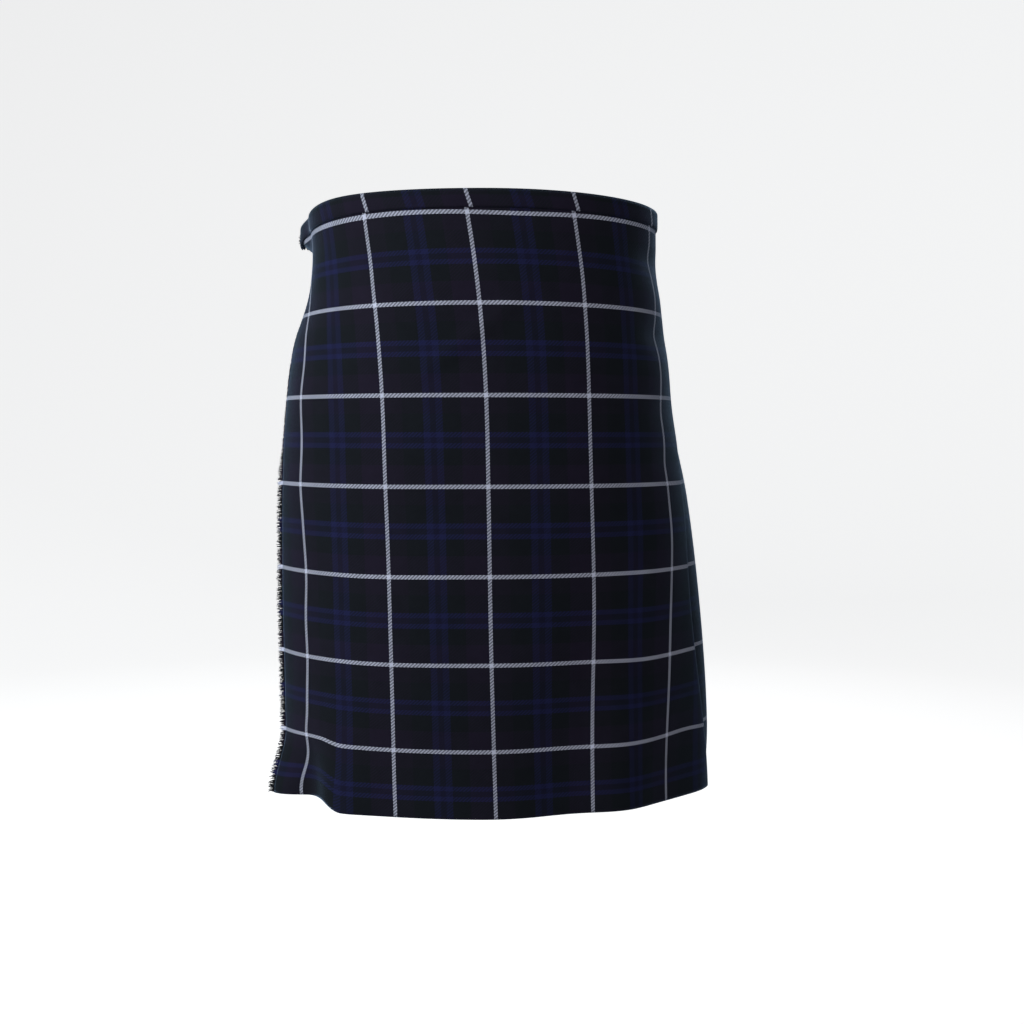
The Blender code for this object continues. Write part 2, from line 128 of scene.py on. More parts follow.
# ---------------------------------------------------------------- the tartan and the over apron
# The over apron is the flat front panel: the outer end of one long length of twilled worsted. Its
# free edge, at the wearer's right, is fringed, and its other edge is a pressed fold with its
# cloth turned back underneath. It is hung on the figure that the kilt was shaped to.

LENGTH = 610
WALL = 1.1
LAYER = 1.9  # from one folded layer to the next
TOP_EDGE = 1.6  # where the cloth starts, inside the waistband
BAND = 18  # the waistband's height
FRINGED_EDGE = -245  # across the cloth from the white stripe in the middle of the apron
APRON_FOLD = 250
PLEATS = 18
LAST_FOLD = -225
FELL = 205  # the pleats are sewn down from the waist to here
OPENING = 2.2  # how much deeper the layers lie at the hem than where they are sewn
SETT_ACROSS, SETT_DOWN = 100, 86.6
FIRST_STRIPE = 22.4  # drop of the first white line of the weft
OUTLINE_POINTS, APRON_COLUMNS, APRON_ROWS, FOLD_STEPS = 1441, 150, 186, 6
RETURN_STEPS = np.array([8.0, 18.0, 29.0, 40.0, 50.0])  # back from the fold, under the apron

# The figure at each drop: its reach to the wearer's right and left, to the front and the back;
# how far back each side is widest; how square its left front quarter is; how far the cloth leans
# to the left; how much it is stretched across; and how far the over apron's fold slants off grain.
Section = namedtuple(
    "Section", "drop right left front back right_turn left_turn square lean stretch slant"
)
FIGURE = (
    Section(0, 179, 178, 122, 124, 0, 0, 2.15, -18, 1.03, 0),
    Section(70, 178, 180, 130, 134, 4, 4, 2.15, -7, 1.03, 0),
    Section(135, 197, 190, 134, 147, 8, 8, 2.15, 0, 1.015, 0),
    Section(205, 209, 198, 134, 159, 12, 12, 2.12, 4, 1.005, -2),
    Section(300, 218, 217, 131, 167, 17, 22, 2.05, 6, 1, -12),
    Section(430, 220, 235, 123, 173, 21, 33, 1.9, 8, 1, -10),
    Section(545, 219, 244, 114, 177, 24, 39, 1.8, 11, 1, 6),
    Section(LENGTH, 222, 245, 110, 179, 25, 40, 1.78, 13, 1, 16),
)
SQUARENESS = 2.15  # of the other three quarters
HIP_DIP_RIGHT, HIP_DIP_LEFT = 7, 5  # how far the cloth sinks towards each side, above the fell
TOP_SHARPNESS, TOP_FALL = 8, 30  # in the top of it the right side sinks only near its corner
CORNER_RISE, RISE_ARC = 8, -172  # the hem by the free corner is lifted, and most at this arc
RISE_AFTER, RISE_BEFORE, RISE_TOP = 30, 150, 470  # the lift fades this far round, and up to here

# The large soft folds of the front: the arc of the middle, the half width, how far the cloth is
# pushed out at the hem, and the drop where the fold has died away.
Fold = namedtuple("Fold", "arc half_width push top")
FOLDS = (
    Fold(-150, 34, 7, 480),
    Fold(-186, 22, -9, 520),
    Fold(86, 40, -5, 330),
    Fold(150, 34, 6, 360),
    Fold(268, 30, 5, 250),
)
# The small ripples, most of them where the cloth is drawn over the left hip.
Ripple = namedtuple("Ripple", "arc drop half_width half_height push")
RIPPLES = (
    Ripple(196, 54, 34, 14, -3.0),
    Ripple(204, 92, 40, 15, 1.6),
    Ripple(205, 132, 38, 14, -3.6),
    Ripple(208, 172, 38, 18, 1.4),
    Ripple(206, 212, 36, 16, -1.4),
    Ripple(212, 262, 34, 14, -1.6),
    Ripple(206, 330, 46, 26, 0.8),
    Ripple(-196, 66, 32, 20, 2.0),
    Ripple(-204, 112, 34, 20, -1.8),
    Ripple(-120, 96, 60, 26, 0.9),
    Ripple(70, 84, 70, 22, 0.8),
    Ripple(-60, 250, 90, 40, 0.7),
    Ripple(40, 420, 60, 60, 0.8),
)
# The drag line across the front: where it starts and ends, as (arc, drop), its half width and
# push, and how far past its start and its end it fades.
DRAG_START, DRAG_END, DRAG_WIDTH, DRAG_PUSH = (-46, 166), (22, 116), 9, 1.8
DRAG_FADE_IN, DRAG_FADE_OUT = (-30, 20), (-10, 40)
UNEVEN = 0.35  # no hanging cloth is quite flat
FREE_FROM, FREE_TO = 20, 46  # below the waistband it takes this drop to move freely
# How far the free corners stand off at the waist and at the hem, how far the upper one sinks, and
# how far along the edge and across the cloth each of them reaches.
CORNER_OUT_WAIST, CORNER_OUT_HEM, CORNER_DOWN = 17, 13, 6
CORNER_DROP, HEM_CORNER, CORNER_WIDTH = 42, 70, 42


def smooth(low, high, value):
    """0 up to low, 1 from high, and a soft step between."""
    t = np.clip((value - low) / (high - low), 0, 1)
    return t * t * (3 - 2 * t)


@lru_cache(maxsize=None)
def figure_at(drop):
    """The figure's section at a drop, on a smooth curve through the rows of FIGURE."""
    above = max(i for i, row in enumerate(FIGURE[:-1]) if row.drop <= max(drop, 0))
    first, last = FIGURE[above], FIGURE[above + 1]
    before, after = FIGURE[max(above - 1, 0)], FIGURE[min(above + 2, len(FIGURE) - 1)]
    span = last.drop - first.drop
    t = (drop - first.drop) / span
    values = []
    for name in Section._fields[1:]:
        p0, p1, p2, p3 = (getattr(row, name) for row in (before, first, last, after))
        out = span * (p2 - p0) / (last.drop - before.drop)
        into = span * (p3 - p1) / (after.drop - first.drop)
        cube = 2 * p1 - 2 * p2 + out + into
        square = -3 * p1 + 3 * p2 - 2 * out - into
        values.append(((cube * t + square) * t + out) * t + p1)
    return Section(drop, *values)


@lru_cache(maxsize=4096)
def outline(drop):
    """Points round the figure at a drop, their outward normals, and the arc of each."""
    s = figure_at(drop)
    angle = np.linspace(-math.pi, math.pi, OUTLINE_POINTS)
    sine, cosine = np.sin(angle), np.cos(angle)
    power = np.where((sine > 0) & (cosine > 0), 2 / s.square, 2 / SQUARENESS)
    x = np.sign(sine) * np.abs(sine) ** power
    y = -np.sign(cosine) * np.abs(cosine) ** power
    turn = np.where(x < 0, s.right_turn, s.left_turn)
    x = np.where(x < 0, x * s.right, x * s.left)
    y = turn + np.where(y < 0, y * (s.front + turn), y * (s.back - turn))
    along = np.stack([np.gradient(x), np.gradient(y)], 1)
    along[[0, -1]] = (-1.0, 0.0)
    along /= np.linalg.norm(along, axis=1)[:, None]
    arc = np.concatenate([[0], np.cumsum(np.hypot(np.diff(x), np.diff(y)))])
    arc -= arc[len(arc) // 2]
    return x, y, along[:, 1], -along[:, 0], arc


def girth(drop):
    """The whole way round the figure."""
    arc = outline(drop)[4]
    return arc[-1] - arc[0]


def fold_across(drop):
    """Where the over apron's folded edge lies across its cloth."""
    return APRON_FOLD + figure_at(drop).slant


def across_arc(across, drop):
    """The arc of a place on the over apron, given across the cloth from its middle stripe."""
    return across * figure_at(drop).stretch + figure_at(drop).lean


def place(arc, drop, inset=0.0, sink=0.0):
    """Points in metres at one drop, inset from the figure's outline."""
    x, y, nx, ny, arcs = outline(drop)
    at = (arc - arcs[0]) % girth(drop) + arcs[0]
    px, py, out_x, out_y = (np.interp(at, arcs, values) for values in (x, y, nx, ny))
    sharpness = np.where(px < 0, 2 + TOP_SHARPNESS * (1 - smooth(0, TOP_FALL, drop)), 2)
    dip = np.where(px < 0, HIP_DIP_RIGHT, HIP_DIP_LEFT)
    dip = dip * (np.abs(px) / np.abs(x).max()) ** sharpness * (1 - smooth(0, FELL, drop))
    from_corner = (at - RISE_ARC) / np.where(at > RISE_ARC, RISE_AFTER, RISE_BEFORE)
    rise = CORNER_RISE * (1 - smooth(0, 1, np.abs(from_corner))) * smooth(RISE_TOP, LENGTH, drop)
    height = rise - drop - dip - sink
    return np.stack([px - inset * out_x, py - inset * out_y, height + 0 * px], -1) / 1000


def fold_push(arc, drop):
    """How far the large soft folds of the front push the cloth out."""
    push = 0 * arc
    for fold in FOLDS:
        near = np.exp(-(((arc - fold.arc) / fold.half_width) ** 2))
        push = push + fold.push * near * smooth(fold.top, LENGTH, drop)
    return push


def ripple_push(arc, drop):
    """The small ripples and the drag line, which die away under the waistband."""
    push = 0 * arc
    for spot in RIPPLES:
        off = ((arc - spot.arc) / spot.half_width) ** 2
        push = push + spot.push * np.exp(-(off + ((drop - spot.drop) / spot.half_height) ** 2))
    run = np.subtract(DRAG_END, DRAG_START)
    length = np.hypot(*run)
    along = ((arc - DRAG_START[0]) * run[0] + (drop - DRAG_START[1]) * run[1]) / length
    off = ((arc - DRAG_START[0]) * run[1] - (drop - DRAG_START[1]) * run[0]) / length
    held = smooth(*DRAG_FADE_IN, along) * (1 - smooth(*np.add(length, DRAG_FADE_OUT), along))
    push = push + DRAG_PUSH * held * np.exp(-((off / DRAG_WIDTH) ** 2))
    push = push + UNEVEN * np.sin(arc / 23 + drop / 61) * np.sin(drop / 37 - arc / 90)
    return push * smooth(FREE_FROM, FREE_TO, drop)


def corner_lift(across, drop):
    """How far the free corners of the over apron stand off, and how far the upper one sinks."""
    near_edge = 1 - smooth(FRINGED_EDGE, FRINGED_EDGE + CORNER_WIDTH, across)
    at_waist = near_edge * (1 - smooth(BAND, CORNER_DROP, drop))
    at_hem = near_edge * smooth(LENGTH - HEM_CORNER, LENGTH, drop)
    sink = CORNER_DOWN * at_waist * (1 - smooth(0, CORNER_DROP, drop))
    return CORNER_OUT_WAIST * at_waist + CORNER_OUT_HEM * at_hem, sink


def apron_points(across, drop, inset=0.0, droop=0.0):
    """Points of the over apron at one drop, across the cloth from its middle stripe."""
    arc = across_arc(across, drop)
    lift, sink = corner_lift(across, drop)
    out = lift + fold_push(arc, drop) + ripple_push(arc, drop)
    return place(arc, drop, inset - out, sink + droop)


def spacing(drop):
    """The depth from one pleat's face to the next one's: two layers, more where they hang free."""
    return 2 * LAYER * (1 + (OPENING - 1) * smooth(FELL, LENGTH, drop))


def pleat_width(drop):
    """The width of each pleat's face: an even share of the way round from fold to fold."""
    first, last = across_arc(fold_across(drop), drop), girth(drop) + across_arc(LAST_FOLD, drop)
    return (last - first) / PLEATS


def turned_fold(drop):
    """The section of a fold: how far short of its edge, how deep, and how far round the turn
    each point of it lies."""
    angle = np.linspace(0, math.pi, FOLD_STEPS + 1)
    radius = spacing(drop) / 4
    return radius * (1 - np.sin(angle)), radius * (1 - np.cos(angle)), radius * angle


def make_piece(name, points, faces, map_name=None, places=None):
    """A smooth piece, with a UV map that takes each of its points to a place."""
    mesh = bpy.data.meshes.new(name)
    mesh.from_pydata(points, [], faces)
    if map_name:
        corners = [point for face in faces for point in face]
        uv = mesh.uv_layers.new(name=map_name)
        uv.data.foreach_set("uv", np.array(places, np.float32)[corners].ravel())
    mesh.shade_smooth()
    piece = bpy.data.objects.new(name, mesh)
    bpy.context.scene.collection.objects.link(piece)
    return piece


def add_wall(sheet, thickness):
    """Gives a sheet its thickness, half of it to each side."""
    wall = sheet.modifiers.new("Wall", "SOLIDIFY")
    wall.thickness = thickness
    wall.offset = 0
    wall.use_even_offset = True


def hang_cloth(name, drops, row_at):
    """Joins rows of points into one sheet. row_at gives a row's points and its place on the
    cloth, across and down, which becomes the UV map that the weave follows."""
    points, threads = [], []
    for drop in drops:
        row, across, down = row_at(float(drop))
        points.append(row)
        threads.append(np.stack([across / SETT_ACROSS, down / SETT_DOWN + 0 * across], -1))
    rows, columns = len(points), len(points[0])
    index = np.arange(rows * columns).reshape(rows, columns)
    quads = np.stack([index[:-1, :-1], index[1:, :-1], index[1:, 1:], index[:-1, 1:]], -1)
    points, quads = np.concatenate(points).tolist(), quads.reshape(-1, 4).tolist()
    cloth = make_piece(name, points, quads, "cloth", np.concatenate(threads))
    add_wall(cloth, WALL / 1000)
    return cloth


# The sett: how many threads of each colour are counted into the warp, and into the weft.
Stripe = namedtuple("Stripe", "colour warp weft")
SETT = (
    Stripe("white", 2, 2),
    Stripe("black", 19, 19),
    Stripe("green", 22, 22),
    Stripe("blue", 7, 6),
    Stripe("navy", 6, 7),
    Stripe("blue", 7, 6),
    Stripe("green", 19, 20),
    Stripe("plum", 24, 23),
    Stripe("white", 2, 3),
)
THREADS = sum(stripe.warp for stripe in SETT)
# The warp's whites and blues are painted darker, a painted shade for the warp lying deeper.
WARP_SHADED_BRIGHTNESS = {"white": 0.9, "blue": 0.72}  # the share of its brightness that a warp line shows
NAP_TINT = (0.44, 0.68, 1.0, 1)
NAP_SHOWS = 0.24  # how much of the thread underneath shows through the raised nap
HAIRINESS = 0.35  # how far the edge of a thread strays, in threads
THREAD_RELIEF = 0.0004
YARNS = {
    "white": (0.60, 0.63, 0.78),
    "black": (0.0116, 0.0106, 0.0184),
    "green": (0.0084, 0.0104, 0.0140),
    "blue": (0.0146, 0.0170, 0.0680),
    "navy": (0.0098, 0.0104, 0.0290),
    "plum": (0.0138, 0.0110, 0.0230),
}


class Reckoned:
    """A socket that can be reckoned with: each sign adds its Math node."""

    def __init__(self, finish, socket):
        self.finish, self.socket = finish, socket

    def maths(self, operation, *values):
        return self.finish.node("ShaderNodeMath", {"operation": operation}, dict(enumerate(values)))

    def __add__(self, other):
        return self.maths("ADD", self, other)

    def __sub__(self, other):
        return self.maths("SUBTRACT", self, other)

    def __rsub__(self, other):
        return self.maths("SUBTRACT", other, self)

    def __mul__(self, other):
        return self.maths("MULTIPLY", self, other)

    def __lt__(self, other):
        return self.maths("LESS_THAN", self, other)

    def __mod__(self, other):
        return self.maths("FLOORED_MODULO", self, other)

    __radd__, __rmul__ = __add__, __mul__

    def whole(self):
        return self.maths("FLOOR", self)

    def sine(self):
        return self.maths("SINE", self)


class Finish:
    """A material in the making. node() adds any node to it, with its settings first."""

    def __init__(self, name, **shader_values):
        self.material = bpy.data.materials.new(name)
        self.material.use_nodes = True
        self.tree = self.material.node_tree
        self.shader = self.tree.nodes["Principled BSDF"]
        for socket, value in shader_values.items():
            self.set(socket.replace("_", " "), value)

    def set(self, socket, value):
        self.join(self.shader.inputs[socket], value)

    def join(self, socket, value):
        if isinstance(value, Reckoned):
            self.tree.links.new(value.socket, socket)
        else:
            socket.default_value = value

    def node(self, kind, settings, sockets, out=0):
        made = self.tree.nodes.new(kind)
        for name, value in settings.items():
            if name == "stops":
                self.set_stops(made.color_ramp, value)
            elif name == "interpolation":
                made.color_ramp.interpolation = value
            else:
                setattr(made, name, value)
        for name, value in sockets.items():
            self.join(made.inputs[name], value)
        return Reckoned(self, made.outputs[out])

    def set_stops(self, ramp, stops):
        for place_on, _ in stops[1:-1]:
            ramp.elements.new(place_on)
        for element, (place_on, colour) in zip(ramp.elements, stops):
            element.position = place_on
            element.color = (*colour, 1)

    def on_piece(self):
        """The place in the piece's own coordinates, in metres."""
        return self.node("ShaderNodeTexCoord", {}, {}, out=3)

    def on_cloth(self):
        """The place on the cloth, counted in setts, and its two parts: across, and down."""
        place_on = self.node("ShaderNodeUVMap", {"uv_map": "cloth"}, {})
        across = self.node("ShaderNodeSeparateXYZ", {}, {"Vector": place_on})
        return place_on, across, Reckoned(self, across.socket.node.outputs[1])

    def mix(self, share, first, second, blend="MIX"):
        settings = {"data_type": "RGBA", "blend_type": blend}
        return self.node("ShaderNodeMix", settings, {0: share, 6: first, 7: second}, out=2)

    def shaded(self, colour, shade):
        """A colour made darker or lighter by a number."""
        grey = self.node("ShaderNodeCombineColor", {}, {0: shade, 1: shade, 2: shade})
        return self.mix(1.0, colour, grey, "MULTIPLY")

    def ramp(self, at, stops, **settings):
        return self.node("ShaderNodeValToRGB", {"stops": stops, **settings}, {"Fac": at})

    def noise(self, at, scale, detail=2.0, roughness=0.5):
        sockets = {"Vector": at, "Scale": scale, "Detail": detail, "Roughness": roughness}
        return self.node("ShaderNodeTexNoise", {}, sockets)

    def bump(self, height, strength, depth):
        sockets = {"Height": height, "Strength": strength, "Distance": depth}
        self.set("Normal", self.node("ShaderNodeBump", {}, sockets))


def sett_stops(way):
    """The colour of each run of warp or weft threads, as the stops of a ramp one sett long. The
    warp lies a little deeper in the cloth, and its whites and blues are painted less bright for
    it, a painted shade."""
    stops, counted = [], 0
    for stripe in SETT:
        shade = YARNS[stripe.colour]
        if way == "warp" and stripe.colour in WARP_SHADED_BRIGHTNESS:
            share = WARP_SHADED_BRIGHTNESS[stripe.colour]
            shade = tuple(g + (v - g) * share for v, g in zip(shade, YARNS["green"]))
        stops.append((counted / THREADS, shade))
        counted += getattr(stripe, way)
    return stops


def dyed(finish, thread, way):
    """The colour of a warp or weft thread, from its number in the cloth."""
    in_sett = (thread + 0.5) * (1 / THREADS) % 1
    return finish.ramp(in_sett, sett_stops(way), interpolation="CONSTANT")


def make_tartan(name):
    """Two and two twill: each thread goes over two and under two, one further on in each row."""
    tartan = Finish(
        name, Specular_IOR_Level=0.05, Sheen_Weight=0.5, Sheen_Roughness=0.3, Sheen_Tint=NAP_TINT
    )
    place_on, across, down = tartan.on_cloth()
    hairy = tartan.noise(place_on, 260.0) - 0.5
    warp_at = across * THREADS + hairy * HAIRINESS
    weft_at = down * THREADS + hairy * HAIRINESS
    warp_thread, weft_thread = warp_at.whole(), weft_at.whole()
    step = (warp_thread + weft_thread) % 4
    warp_on_top = step < 1.5
    # Each float stands up in the middle of its run, and each thread is round.
    warp_float = ((step + (weft_at - weft_thread)) * (math.pi / 2)).sine()
    weft_float = ((step - 2 + (warp_at - warp_thread)) * (math.pi / 2)).sine()
    warp_round = ((warp_at - warp_thread) * math.pi).sine()
    weft_round = ((weft_at - weft_thread) * math.pi).sine()
    warp_height = warp_round * (0.45 + 0.55 * warp_float)
    weft_height = weft_round * (0.45 + 0.55 * weft_float)
    height = warp_on_top * warp_height + (1 - warp_on_top) * weft_height
    warp, weft = dyed(tartan, warp_thread, "warp"), dyed(tartan, weft_thread, "weft")
    woven = tartan.mix(NAP_SHOWS + (1 - 2 * NAP_SHOWS) * warp_on_top, weft, warp)
    # The dye took a little unevenly, and the nap catches more light in some places than others.
    place_on = tartan.on_piece()
    uneven = tartan.noise(place_on, 14.0, 3.0) * 0.5 + tartan.noise(place_on, 90.0) * 0.5
    # The height part paints the colour darker where each thread dips at its edges and at the ends
    # of its float, a painted shade in the hollows of the weave.
    shade = (0.62 + 0.5 * height) * (0.7 + 0.6 * uneven)
    tartan.set("Base Color", tartan.shaded(woven, shade))
    tartan.set("Roughness", 0.78 + 0.2 * uneven)
    nap = tartan.noise(place_on, 900.0, 3.0, 0.65)
    tartan.bump(height * 0.7 + nap * 0.5, 0.35, THREAD_RELIEF)
    return tartan.material


tartan_cloth = make_tartan("tartan twill")

# Where the threads have been drawn out of true: across, drop, half width and half height of each
# place, and how far the threads there have moved across and down.
Drawn = namedtuple("Drawn", "across drop half_width half_height aside down")
DRAWN = (
    Drawn(200, 345, 50, 60, 3.5, 0),
    Drawn(205, 600, 45, 120, -13, 0),
    Drawn(-205, 150, 30, 30, 3.5, 0),
    Drawn(-205, 196, 30, 26, -3, 0),
    Drawn(-205, 282, 30, 26, -3, 0),
    Drawn(-205, 372, 30, 40, 5, 0),
    Drawn(-205, 455, 30, 34, 3, 0),
    Drawn(-205, 540, 34, 17, -3, 0),
    Drawn(-205, 604, 34, 34, -17, 0),
    Drawn(100, 400, 45, 110, 3.5, 0),
    Drawn(-90, 420, 50, 130, 2, 0),
    Drawn(50, 22, 55, 30, 0, 2),
    Drawn(-120, 400, 70, 110, 0, 1.6),
    Drawn(165, 455, 45, 60, 0, 2),
    Drawn(220, 545, 34, 30, 0, -3),
)


def drawn_threads(across, drop):
    """The threads at a place on the over apron: across the cloth and down it."""
    aside, down = 0 * across, 0 * across
    for spot in DRAWN:
        off = ((across - spot.across) / spot.half_width) ** 2
        near = np.exp(-off - ((drop - spot.drop) / spot.half_height) ** 2)
        aside = aside + spot.aside * near
        down = down + spot.down * near
    return across - aside, drop - FIRST_STRIPE - down


def over_apron_row(drop):
    """One row of the over apron: its face, its turned fold, and its return."""
    short, deep, round_fold = turned_fold(drop)
    edge = fold_across(drop)
    face = np.linspace(FRINGED_EDGE, edge - short[0], APRON_COLUMNS)
    front = apron_points(face, drop)
    fold = edge - short[1:]
    fold_arcs = across_arc(fold, drop)
    pushed = fold_push(fold_arcs, drop) + ripple_push(fold_arcs, drop)
    turned = place(fold_arcs, drop, deep[1:] - pushed)
    back_at = across_arc(edge - RETURN_STEPS, drop)
    share = RETURN_STEPS / pleat_width(drop)
    behind = place(back_at, drop, 2 * short[0] + spacing(drop) * share)
    across = np.concatenate([face, edge - short[0] + round_fold[1:], edge + RETURN_STEPS])
    threads, down = drawn_threads(across, drop)
    return np.concatenate([front, turned, behind]), threads, down


apron_drops = np.linspace(TOP_EDGE, LENGTH, APRON_ROWS)
over_apron = hang_cloth("over_apron_cloth", apron_drops, over_apron_row)
over_apron.data.materials.append(tartan_cloth)
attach(over_apron, "root")
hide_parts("over_apron")


# ---------------------------------------------------------------- fringe
# Along the over apron's free edge the last warp threads are drawn out, so that the ends of the
# weft stand loose as a short ragged fringe, in the colours that the weft runs in.

YARN_SIDES, YARN_JOINTS = 4, 3
YARN_TOP, YARN_STEP, STEP_VARIES = 8, 0.42, (0.55, 1.35)  # one every so far down the edge
YARN_ROOT = 1.5  # each starts this far inside the edge
REACH, DROOP, THICK = (2.6, 6.4), (-1.0, 2.4), (0.36, 0.56)  # the least and most of each
SPLAY = 1.0, 5.6, 4.4  # the least, most and usual distance that a tip stands off the cloth
ROUGH_FROM, ROUGH_TO, ROUGH_SPLAY = 12, 32, 3  # above these drops a tip stands off further
CLOSE_FROM, CLOSE_TO, CLOSE_FADE = 44, 230, 60  # between these drops the tips lie close
CLOSE_SHARE = 0.75  # the part of its splay that a yarn loses there
YARN_ACROSS = 0.3  # the place across the sett, which makes no difference to the weft
UP = Vector((0, 0, 1))


def yarn_points(root_drop, reach, droop, splay, thick):
    """The rings of points of one loose yarn, from inside the edge out to its tip."""
    points = []
    for joint in range(YARN_JOINTS + 1):
        t = joint / YARN_JOINTS
        drop = round(min(root_drop + droop * t * t, LENGTH), 1)
        across = FRINGED_EDGE + YARN_ROOT - (reach + YARN_ROOT) * t
        middle, ahead, behind = (
            Vector(apron_points(np.array([across + beside]), drop, -lift)[0])
            for beside, lift in ((0, splay * t), (-1, 0), (1, 0))
        )
        side = (ahead - behind).normalized().cross(UP).normalized()
        radius = thick / 1000 * (1 - 0.5 * t * t)
        for corner in range(YARN_SIDES):
            turn = 2 * math.pi * corner / YARN_SIDES
            points.append(middle + (side * math.cos(turn) + UP * math.sin(turn)) * radius)
    return points


def tube_faces(first):
    """The faces of a yarn whose rings start at a point's number, with both of its ends closed."""
    ring = range(YARN_SIDES)
    faces = []
    for low in range(first, first + YARN_JOINTS * YARN_SIDES, YARN_SIDES):
        high = low + YARN_SIDES
        for corner in ring:
            beside = (corner + 1) % YARN_SIDES
            faces.append((low + corner, low + beside, high + beside, high + corner))
    last = first + YARN_JOINTS * YARN_SIDES
    return faces + [tuple(first + c for c in reversed(ring)), tuple(last + c for c in ring)]


random.seed(7)
fringe_points, fringe_faces, fringe_threads = [], [], []
root_drop = YARN_TOP
while root_drop < LENGTH - 0.5:
    reach = random.uniform(*REACH)
    droop = random.uniform(*DROOP)
    close = smooth(ROUGH_FROM, CLOSE_FROM, root_drop)
    close -= smooth(CLOSE_TO, CLOSE_TO + CLOSE_FADE, root_drop)
    splay = random.triangular(*SPLAY) * (1 - CLOSE_SHARE * close)
    splay += ROUGH_SPLAY * (1 - smooth(ROUGH_FROM, ROUGH_TO, root_drop))
    fringe_faces += tube_faces(len(fringe_points))
    points = yarn_points(root_drop, reach, droop, splay, random.uniform(*THICK))
    fringe_points += points
    fringe_threads += [(YARN_ACROSS, (root_drop - FIRST_STRIPE) / SETT_DOWN)] * len(points)
    root_drop += YARN_STEP * random.uniform(*STEP_VARIES)
fringe = make_piece("fringe_yarns", fringe_points, fringe_faces, "cloth", fringe_threads)
shape = bmesh.new()
shape.from_mesh(fringe.data)
bmesh.ops.recalc_face_normals(shape, faces=shape.faces)
shape.to_mesh(fringe.data)
shape.free()

yarn = Finish("loose weft", Specular_IOR_Level=0.05, Sheen_Weight=0.03)
_, _, down = yarn.on_cloth()
weft = dyed(yarn, (down * THREADS).whole(), "weft")
fibres = yarn.noise(yarn.on_piece(), 700.0, 3.0, 0.6)
yarn.set("Base Color", yarn.shaded(weft, 0.6 + 0.8 * fibres))
yarn.set("Roughness", 0.8 + 0.2 * fibres)
yarn.bump(fibres, 0.5, 0.0003)
fringe.data.materials.append(yarn.material)
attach(fringe, "root")
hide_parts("fringe")


# ---------------------------------------------------------------- pleats
# Eighteen knife pleats go round the back, each a face, a pressed fold and the cloth turned back
# under it. They are pleated to the sett, so the checks run on from the over apron, and they are
# sewn down to the fell and hang free below it.

PLEAT_DEPTH = 50
WRAP_IN = 5.5  # how far the inner end of the wrap lies inside the outer end
PLEAT_TAKES = 135.8  # cloth to each pleat: what shows at the hip, and one sett more
SWAY = 2.0  # how far a fold swings to one side at the hem
SPRING, SPRING_VARIES = 1.4, 1.2  # how far a face springs out at its fold
SEWN_ROWS, FREE_ROWS = 24, 54
JOINING_COLUMNS, FACE_COLUMNS, BACK_COLUMNS = 5, 15, 7
sewn_drops = np.linspace(TOP_EDGE, FELL, SEWN_ROWS)
pleat_drops = np.concatenate([sewn_drops, np.linspace(FELL, LENGTH, FREE_ROWS)[1:]])


def fold_arc(folds, drop):
    """The arc of a place counted in folds from the over apron's, with each fold's own sway."""
    inside = smooth(0, 1, folds) * (1 - smooth(PLEATS - 1, PLEATS, folds))
    sway = SWAY * np.sin(1.9 * folds + 0.6) * inside * smooth(FELL, LENGTH, drop)
    return across_arc(fold_across(drop), drop) + folds * pleat_width(drop) + sway


def wrap_inset(folds):
    """How far inside its outer end the wrap has come."""
    return WRAP_IN * np.clip(folds / PLEATS, 0, 1)


def on_folds(folds, drop, inset):
    """Points of the pleats, counted in folds. The last ones keep behind the apron's valleys."""
    arc = fold_arc(folds, drop)
    valley = np.maximum(0, -fold_push(arc - girth(drop), drop)) * (folds > PLEATS / 2)
    return place(arc, drop, inset + valley)


def pleat_row(number, drop):
    """One row of a pleat: the fold that joins it to the one before, its face, fold and return."""
    width = pleat_width(drop)
    short, deep, round_fold = turned_fold(drop)
    radius = spacing(drop) / 4
    start = number - 1 - PLEAT_DEPTH / width
    turn = np.linspace(0, math.pi, JOINING_COLUMNS)[:-1]
    inner = start + radius / width * (1 - np.sin(turn))
    face = np.linspace(start + radius / width, number - radius / width, FACE_COLUMNS)
    fold = number - short[1:] / width
    back = np.linspace(number - radius / width, start + 1 + radius / width, BACK_COLUMNS)[1:]
    folds = np.concatenate([inner, face, fold, back])
    layer = wrap_inset(folds) + spacing(drop) * (number - folds)
    layer[: len(inner)] -= radius * (1 + np.cos(turn))
    at_fold = slice(len(inner) + len(face), len(inner) + len(face) + len(fold))
    layer[at_fold] += deep[1:]
    layer[at_fold.stop :] += 2 * radius
    spring = SPRING + SPRING_VARIES * math.sin(2.3 * number + 1.0)
    spring = spring * smooth(number - 1, number, folds)
    layer = layer - spring * smooth(FELL, LENGTH, drop)
    seen = number * PLEAT_TAKES + APRON_FOLD
    run = [seen - (number - inner) * width, seen - (number - face) * width]
    run += [seen - radius + round_fold[1:], seen + (number - back) * width + radius]
    return on_folds(folds, drop, layer), np.concatenate(run), drop - FIRST_STRIPE


for number in range(1, PLEATS + 1):
    pleat = hang_cloth(
        f"pleat_{number:02d}_cloth", pleat_drops, lambda drop: pleat_row(number, drop)
    )
    pleat.data.materials.append(tartan_cloth)
    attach(pleat, "root")
    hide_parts(f"pleat_{number:02d}")


# ---------------------------------------------------------------- under apron
# The inner end of the same cloth: it runs on from the last pleat across the front, behind the
# over apron, and ends in a plain edge.

UNDER_EDGE = 150
HIDDEN_COLUMNS, UNDER_COLUMNS, UNDER_ROWS = 18, 84, 90
UNDER_START = (PLEATS + 1) * PLEAT_TAKES + APRON_FOLD  # across the cloth, past the pleats


